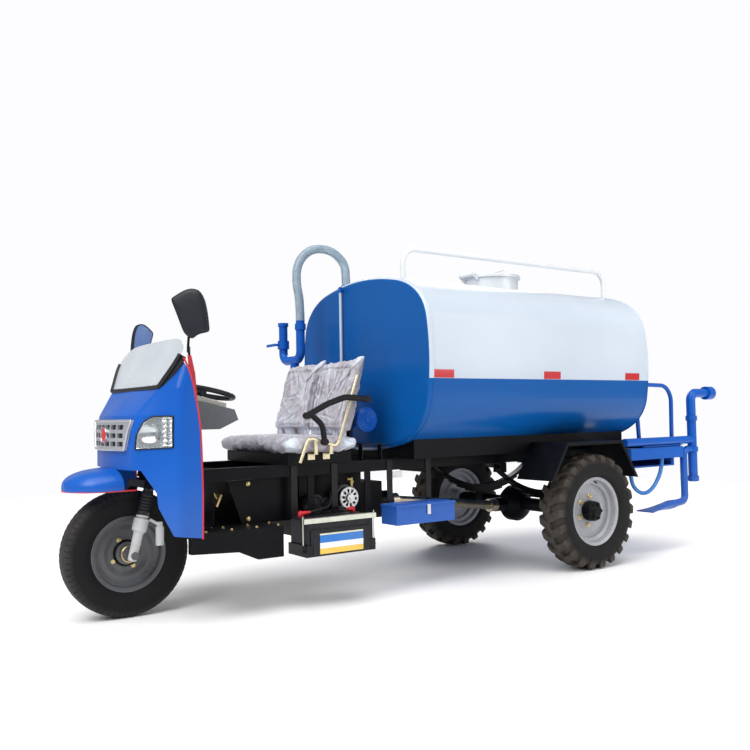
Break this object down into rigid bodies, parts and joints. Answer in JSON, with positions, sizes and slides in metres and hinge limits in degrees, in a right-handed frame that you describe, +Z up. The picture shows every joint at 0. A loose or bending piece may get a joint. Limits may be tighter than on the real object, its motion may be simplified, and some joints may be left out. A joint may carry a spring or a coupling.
{
  "type": "three-wheeled water tank truck",
  "caption": "Small open-cab three-wheeler with a rounded water tank, steering fork, spray pipes and rear platform.",
  "frame": {"origin": "on the ground, in the middle of the vehicle's outline seen from above", "axes": "+Z up; the vehicle faces -Y; +X is its left side"},
  "size_m": [1.55, 4.65, 2.1512],
  "materials": {
    "blue": "gloss",
    "white": "gloss",
    "black": "satin",
    "red": "gloss",
    "dark_grey": "satin",
    "light_grey": "satin",
    "tyre": "matte",
    "rubber": "matte",
    "steel": "satin",
    "zinc": "satin",
    "chrome": "polished",
    "glass": "clear",
    "grey_plastic": "matte",
    "black_plastic": "matte",
    "fabric": "woven",
    "hose": "translucent",
    "blue_hose": "satin"
  },
  "bodies": {
    "chassis": {"frame_head": "black", "chassis_rails": "black", "cab_floor": "black", "toe_board": "black", "engine_cover": "black", "cab_shroud": "blue", "headlights": "glass", "grille": "chrome", "windscreen": "glass", "windscreen_seal": "rubber", "front_fender": "blue", "windscreen_posts": "red", "mirrors": "black_plastic", "dash_cowl": "grey_plastic", "steering_column": "black", "pedals": "zinc", "seat_cushion": "fabric", "seat_backs": "fabric", "seat_frame": "black", "armrest": "black_plastic", "engine_cradle": "black", "engine": "black", "propeller_shaft": "dark_grey", "battery_tray": "black", "battery": "black_plastic", "toolbox": "blue", "tank": "white", "tank_saddles": "black", "manhole_neck": "white", "handrail": "white", "tank_fittings": "blue", "pump": "blue", "front_pipes": "blue", "delivery_hose": "hose", "rear_axle": "black", "leaf_springs": "black", "rear_mudguards": "black", "rear_platform": "blue", "guard_loops": "blue", "rear_pipes": "blue", "drain_hose": "blue_hose"},
    "front_wheel": {"front_tyre": "tyre", "front_wheel": "dark_grey"},
    "fork": {"front_axle": "steel", "fork_legs": "light_grey", "fork_crown": "black"},
    "rear_wheel_left": {"rear_tyre_left": "tyre", "rear_wheel_left": "light_grey"},
    "rear_wheel_right": {"rear_tyre_right": "tyre", "rear_wheel_right": "light_grey"},
    "steering_wheel": {"steering_wheel": "black_plastic"},
    "manhole_lid": {"manhole_lid": "white"},
    "toolbox_lid": {"toolbox_lid": "blue"}
  },
  "joints": [
    {"name": "steering", "type": "hinge", "parent": "chassis", "child": "fork", "pos_m": [0, -2, 0.325], "axis": [0, 0.2419, 0.9703], "range_deg": [-36, 36]},
    {"name": "front_spin", "type": "hinge", "parent": "fork", "child": "front_wheel", "pos_m": [0, -2, 0.325], "axis": [1, 0, 0], "continuous": true},
    {"name": "rear_spin_left", "type": "hinge", "parent": "chassis", "child": "rear_wheel_left", "pos_m": [0.66, 0.82, 0.37], "axis": [1, 0, 0], "continuous": true},
    {"name": "rear_spin_right", "type": "hinge", "parent": "chassis", "child": "rear_wheel_right", "pos_m": [-0.66, 0.82, 0.37], "axis": [1, 0, 0], "continuous": true},
    {"name": "wheel_turn", "type": "hinge", "parent": "chassis", "child": "steering_wheel", "pos_m": [0, -1.58, 1.163], "axis": [0, 0.2079, 0.9781], "range_deg": [-360, 360]},
    {"name": "manhole_hinge", "type": "hinge", "parent": "chassis", "child": "manhole_lid", "pos_m": [0, 0.412, 1.973], "axis": [1, 0, 0], "range_deg": [0, 110]},
    {"name": "toolbox_hinge", "type": "hinge", "parent": "chassis", "child": "toolbox_lid", "pos_m": [0.363, -0.4, 0.4925], "axis": [0, -1, 0], "range_deg": [0, 68]}
  ],
  "couplings": [
    {"joint": "wheel_turn", "follows": "steering", "ratio": 10}
  ]
}
